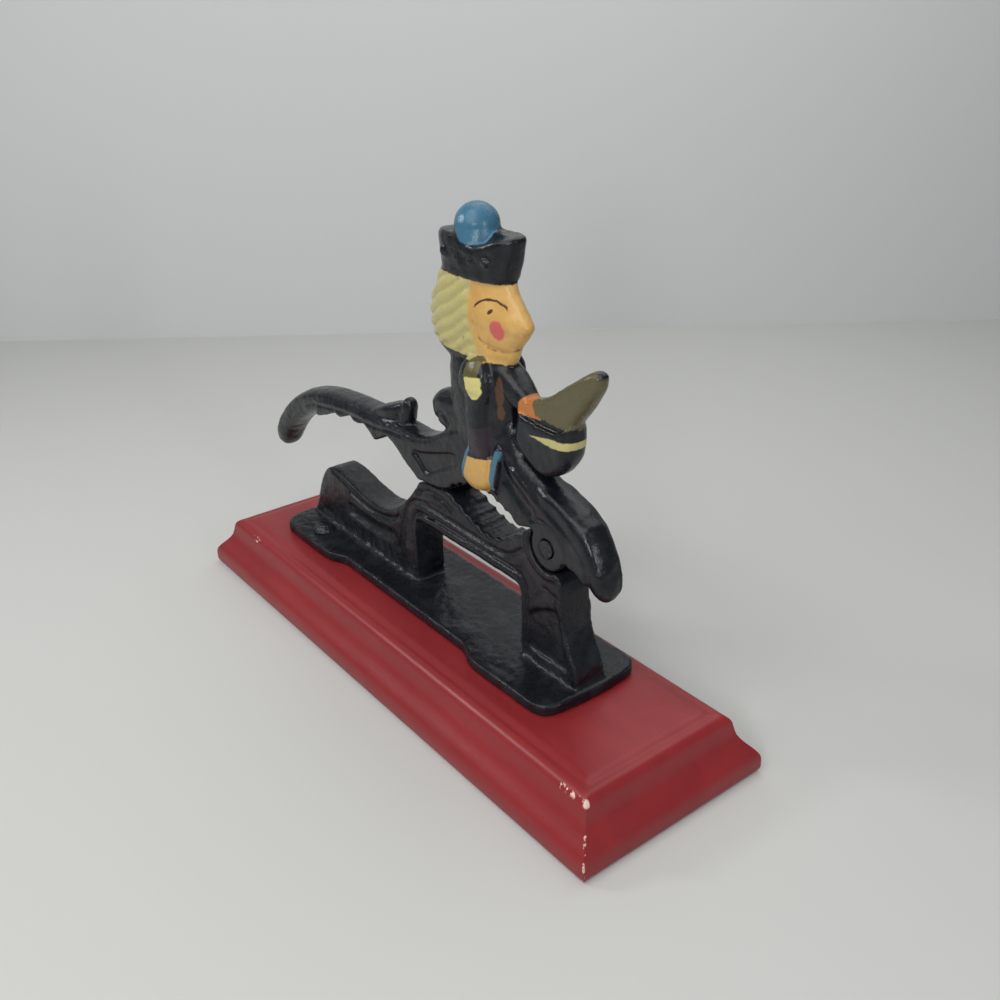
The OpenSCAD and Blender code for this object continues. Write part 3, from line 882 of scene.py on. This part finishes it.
print(len(LEVER_LINES), "strokes on the lever")

# %% [markdown]
# The figure is worked by formulas. The wig's waves slope down to its back, the mouth is one
# stroke, and the hat's rim dips in front of the ball. The photograph shows the far rim
# level, so only the near one dips. The beads on the hat's side are pressed to a low relief,
# because the rosettes are set over them.

# %% Hair, mouth and hat
MOUTH = [(25, 117.4), (27.2, 113.6), (31, 111.6), (36, 111)]
DIP_X, DIP_WIDTH, DIP_DEPTH = 26, 7, 2.4
HAT_SIDE, BEAD_ROW = 6.0, 134.6     # half thickness of the hat, and height of the beads


def hair(x, z):
    """Waves of the wig, which slope down to its back."""
    mask = ramp(wig_front(z) - x, 0, 1.2) * ramp(z, 107, 1.5) * (z < 128.2)
    return 0.26 * mask * np.sin(across_waves(x, z, np.sin(x * 0.5)))


def smile(x, z):
    """The mouth's line, from under the cheek round to the chin."""
    return -0.35 * bell(line_distance(x, z, smooth(MOUTH)), 0.45)


def hat_dip(at):
    """How far the hat's near rim sinks in front of the ball."""
    x, y, z = at.T
    ball_x, ball_z = BALL_PLACE
    free = ramp(np.hypot(np.hypot(x - ball_x, y), z - ball_z), 6.2, 0.6)
    near = ramp(-y, 0, 2.5) * ramp(z, 134, 5)
    return -DIP_DEPTH * bell(x - DIP_X, DIP_WIDTH) * near * free


def low_beads(at):
    """Sideways shift that presses the beads on the hat's sides to a low relief."""
    x, y, z = at.T
    proud = np.abs(y) - HAT_SIDE - 0.35 * ramp(np.abs(y), HAT_SIDE, 1.3)
    return -np.sign(y) * np.clip(proud, 0, 2) * (np.abs(z - BEAD_ROW) < 1.8)


print("tools for the figure: hair, smile, hat_dip, low_beads")

# %% [markdown]
# The handle swells towards its end, except on its tip, which keeps its place. The
# strokes stop under the figure's chin, and the lumps stay away from the hinge.

# %% Lever
STROKES_TOP = 98


def swell(x, normal):
    """How far the handle is thickened: up to 0.7 mm at its end."""
    return 0.7 * ramp(-x, 45, 35) * ramp(normal[:, 0], -0.8, 0.5)


def work_lever(at, normal):
    x, y, z = at.T
    strokes = drawn(x, z, LEVER_LINES) + sunk(x, z, SUNK_PANEL, 0.9)
    push = on_side(normal) * strokes * (z < STROKES_TOP)
    push += unevenness(at) + (hair(x, z) + smile(x, z)) * ramp(np.abs(y), 0, 3)
    push += swell(x, normal)
    moved = normal * push[:, None]
    moved[:, 1] += low_beads(at)
    moved[:, 2] += hat_dip(at)
    return moved


lever = cast_skin("lever_skin", "lever_casting", lever_forms, 0.46, 9, work_lever)
wear(lever, lever_paint)
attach(lever, "lever")
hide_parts("lever_casting")

# %% [markdown]
# ## Plinth
#
# The board's moulded edge is one profile that runs round four sides and meets in mitres. On
# the real board a router cuts it. A Bevel with a profile of its own could make it too, but
# a Geometry Nodes tree keeps the length, the width and the profile apart, as inputs. The
# profile is a chain of points: how far in, and how high.

# %% Edge profile
EDGE = [(8, 0), (1.2, 0), (0.5, 0.25), (0.15, 0.8), (0, 1.6), (0, 3), (0.05, 4.4),
        (0.35, 5.6), (0.97, 6.6), (1.6, 7.4), (2.5, 8.4), (3.5, 9.5), (4.5, 10.8),
        (5.2, 12), (5.6, 13.3), (5.95, 14.8), (6.15, 15.8), (6.5, 16.7), (7.1, 17.5),
        (7.9, 18.1), (8.8, 18.4), (9.6, 18.35), (10.4, 18.35), (11, 18.6),
        (12, 18.95), (13, 19), (15, 19)]
LENGTH, WIDTH = 209, 66


def profile_mesh():
    """The edge profile as a chain: X is the inset and Z the height."""
    mesh = bpy.data.meshes.new("plinth_skin")
    mesh.from_pydata([(inset * MM, 0, height * MM) for inset, height in EDGE],
                     [(i, i + 1) for i in range(len(EDGE) - 1)], [])
    return mesh


print(len(EDGE), "points on the edge profile")

# %% [markdown]
# Both trees in this script start and end alike. The inputs have names, and the tree ends in
# Realize Instances and Set Material, because the export drops instances. The result is
# turned into a plain mesh, and the object that carried the tree is removed.

# %% Geometry Nodes helpers
def new_tree(name, output, **inputs):
    """An empty tree with its named inputs, and the sockets that give their values."""
    tree = bpy.data.node_groups.new(name, "GeometryNodeTree")
    for label, kind in inputs.items():
        tree.interface.new_socket(label, in_out="INPUT", socket_type="NodeSocket" + kind)
    tree.interface.new_socket(output, in_out="OUTPUT", socket_type="NodeSocketGeometry")
    return tree, add(tree, "NodeGroupInput").outputs


def joined(tree, parts):
    whole = add(tree, "GeometryNodeJoinGeometry")
    for part in parts:
        tree.links.new(part, whole.inputs[0])
    return whole.outputs[0]


def ended(tree, geometry, material):
    """The tree, ended in Realize Instances and Set Material."""
    real = add(tree, "GeometryNodeRealizeInstances", {"Geometry": geometry})
    done = add(tree, "GeometryNodeSetMaterial",
               {"Geometry": real.outputs[0], "Material": material})
    add(tree, "NodeGroupOutput", {0: done.outputs[0]})
    return tree


def grown(name, mesh, tree, **inputs):
    """A piece made by a Geometry Nodes tree from a start mesh, as a plain mesh."""
    piece = to_object(name, mesh)
    nodes = piece.modifiers.new("nodes", "NODES")
    nodes.node_group = tree
    for item in tree.interface.items_tree:
        if item.name in inputs:
            nodes[item.identifier] = inputs[item.name]
    mesh = baked(piece)
    closed(merged(mesh), mesh)
    mesh.shade_smooth()
    print(name, len(mesh.polygons), "faces")
    return to_object(name, mesh)


print("tree helpers: new_tree, joined, ended, grown")

# %% [markdown]
# Each side of the board is a grid. Its rows take the profile's height and inset, and its
# columns run between the two mitres. Two flat sheets close the top and the bottom.

# %% Sides and sheets of the board
def position(tree):
    """X, Y and Z of the point that the tree works on."""
    point = add(tree, "GeometryNodeInputPosition").outputs[0]
    return [Num(tree, s) for s in add(tree, "ShaderNodeSeparateXYZ", {0: point}).outputs]


def profile_point(tree, profile, row):
    """Inset and height of the edge profile at one of its points."""
    point = add(tree, "GeometryNodeInputPosition").outputs[0]
    sample = add(tree, "GeometryNodeSampleIndex",
                 {"Geometry": profile, "Value": point, "Index": row},
                 data_type="FLOAT_VECTOR")
    found = add(tree, "ShaderNodeSeparateXYZ", {0: sample.outputs[0]}).outputs
    return Num(tree, found[0]), Num(tree, found[2])


def moulded_side(tree, turn, sizes, profile, slices):
    rows = len(EDGE)
    a, b = sizes if turn % 2 == 0 else sizes[::-1]
    grid = add(tree, "GeometryNodeMeshGrid",
               {"Size X": 2.0, "Size Y": float(rows - 1),
                "Vertices X": slices[turn % 2], "Vertices Y": rows})
    along, row, _ = position(tree)
    inset, height = profile_point(tree, profile, (row + (rows - 1) / 2).of("ROUND"))
    place = add(tree, "ShaderNodeCombineXYZ",
                {0: along * (a - inset), 1: (b - inset) * -1, 2: height})
    side = add(tree, "GeometryNodeSetPosition",
               {"Geometry": grid.outputs[0], "Position": place.outputs[0]})
    return add(tree, "GeometryNodeTransform",
               {"Geometry": side.outputs[0],
                "Rotation": (0, 0, turn * math.pi / 2)}).outputs[0]


def flat_sheet(tree, corner, sizes, slices):
    """A level sheet that closes the board at one end of the profile."""
    inset, height = corner
    sheet = add(tree, "GeometryNodeMeshGrid",
                {"Size X": sizes[0] * 2 - 2 * inset * MM,
                 "Size Y": sizes[1] * 2 - 2 * inset * MM,
                 "Vertices X": slices[0], "Vertices Y": slices[1]})
    return add(tree, "GeometryNodeTransform",
               {"Geometry": sheet.outputs[0],
                "Translation": (0, 0, height * MM)}).outputs[0]


print("board helpers: position, profile_point, moulded_side, flat_sheet")

# %% [markdown]
# A painted board is never quite flat, which shows as bends in the red highlights. Slow
# dents are pushed in along the normals, and the flat bottom is left alone.

# %% Board
DENTS_PER_METRE = 60.0
DENT_DEPTH = 0.15


def dented(tree, whole, depth):
    """The board with slow dents everywhere but on its bottom."""
    point = add(tree, "GeometryNodeInputPosition").outputs[0]
    dent = add(tree, "ShaderNodeTexNoise",
               {"Vector": point, "Scale": DENTS_PER_METRE, "Detail": 1.0})
    push = (Num(tree, dent.outputs["Fac"]) - 0.75) * depth
    lift = position(tree)[2].above(0.6 * MM, 0.5 * MM)
    normal = add(tree, "GeometryNodeInputNormal").outputs[0]
    shift = add(tree, "ShaderNodeVectorMath", {0: normal, "Scale": push * lift},
                operation="SCALE")
    return add(tree, "GeometryNodeSetPosition",
               {"Geometry": whole, "Offset": shift.outputs[0]}).outputs[0]


def plinth_tree(slices, material):
    tree, given = new_tree("moulded_board", "Board", Profile="Geometry", Length="Float",
                           Width="Float", Dents="Float")
    sizes = [Num(tree, given[label]) * 0.5 for label in ("Length", "Width")]
    parts = [moulded_side(tree, turn, sizes, given["Profile"], slices) for turn in range(4)]
    parts += [flat_sheet(tree, corner, sizes, slices) for corner in (EDGE[0], EDGE[-1])]
    whole = add(tree, "GeometryNodeMergeByDistance",
                {"Geometry": joined(tree, parts), "Distance": 0.02 * MM}).outputs[0]
    return ended(tree, dented(tree, whole, Num(tree, given["Dents"])), material)


board = grown("plinth_skin", profile_mesh(), plinth_tree((120, 40), board_red),
              Length=LENGTH * MM, Width=WIDTH * MM, Dents=DENT_DEPTH * MM)
board.data.set_sharp_from_angle(angle=math.radians(42))
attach(board, "base")
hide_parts("plinth")

# %% [markdown]
# ## Rosettes
#
# Four small flowers stand in a row on each side of the hat. They could be modelled once and
# copied by hand, but Geometry Nodes keep them even. One flower is a bead with six flat
# petals, a line of points is bent to the hat's side, and each point gets a flower.

# %% Rosettes
HAT_MIDDLE = 22                     # X of the middle of the row
HAT_HALF, HAT_BEND = 6.15, 6.5      # mm to the hat's side, and its curve per metre


def flower(tree, petal):
    bead = add(tree, "GeometryNodeMeshUVSphere",
               {"Segments": 12, "Rings": 8, "Radius": petal})
    circle = add(tree, "GeometryNodeMeshCircle",
                 {"Vertices": 6, "Radius": petal * 1.35})
    petals = add(tree, "GeometryNodeInstanceOnPoints",
                 {"Points": circle.outputs[0], "Instance": bead.outputs[0],
                  "Scale": (0.8, 0.8, 0.55)})
    return joined(tree, (petals.outputs[0], bead.outputs[0]))


def flower_row(tree, side, given, instance):
    """The row of flowers on one side of the hat, -1 the near and 1 the far one."""
    number = Num(tree, add(tree, "GeometryNodeInputIndex").outputs[0])
    middle = (Num(tree, given["Count"]) - 1) * 0.5
    along = (number - middle) * Num(tree, given["Pitch"])
    depth = (along * along * -HAT_BEND + HAT_HALF * MM) * side + MIDDLE * MM
    place = add(tree, "ShaderNodeCombineXYZ",
                {0: along + HAT_MIDDLE * MM, 1: depth, 2: given["Height"]})
    row = add(tree, "GeometryNodeMeshLine", {"Count": given["Count"]})
    set_out = add(tree, "GeometryNodeSetPosition",
                  {"Geometry": row.outputs[0], "Position": place.outputs[0]})
    return add(tree, "GeometryNodeInstanceOnPoints",
               {"Points": set_out.outputs[0], "Instance": instance,
                "Rotation": (side * -math.pi / 2, 0, 0)}).outputs[0]


def rosette_tree(material):
    tree, given = new_tree("rosettes", "Rosettes", Start="Geometry", Pitch="Float",
                           Petal="Float", Height="Float", Count="Int")
    instance = flower(tree, Num(tree, given["Petal"]))
    rows = [flower_row(tree, side, given, instance) for side in (-1, 1)]
    return ended(tree, joined(tree, rows), material)


rosettes = grown("rosettes", bpy.data.meshes.new("rosettes"), rosette_tree(rosette_enamel),
                 Pitch=6 * MM, Petal=0.55 * MM, Height=BEAD_ROW * MM, Count=4)
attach(rosettes, "lever")

# %% [markdown]
# ## Pin and screws
#
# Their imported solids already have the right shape, so they only get their finish. The black
# enamel was brushed over the whole press after it was put together, and has half filled
# the screws' slots. Coarse bumps of half a millimetre show that better than new meshes.

# %% Pin and screws
def lumpy_paint(name):
    """Black enamel that has filled and half hidden a steel screw or pin head."""
    coat = Finish(name)
    rough = coat.noise(1.2, 3) * 0.3 + 0.12
    rim = coat.bump(coat.noise(1.1, 2), 0.5)
    return coat.finish(Base_Color=black_coat(coat), Roughness=rough,
                       Normal=coat.bump(coat.noise(0.4, 2), 0.1, rim), IOR=1.5)


for node, paint in (("pivot_pin", "pin_paint"), ("wood_screws", "screw_paint")):
    wear(cad[node], lumpy_paint(paint))
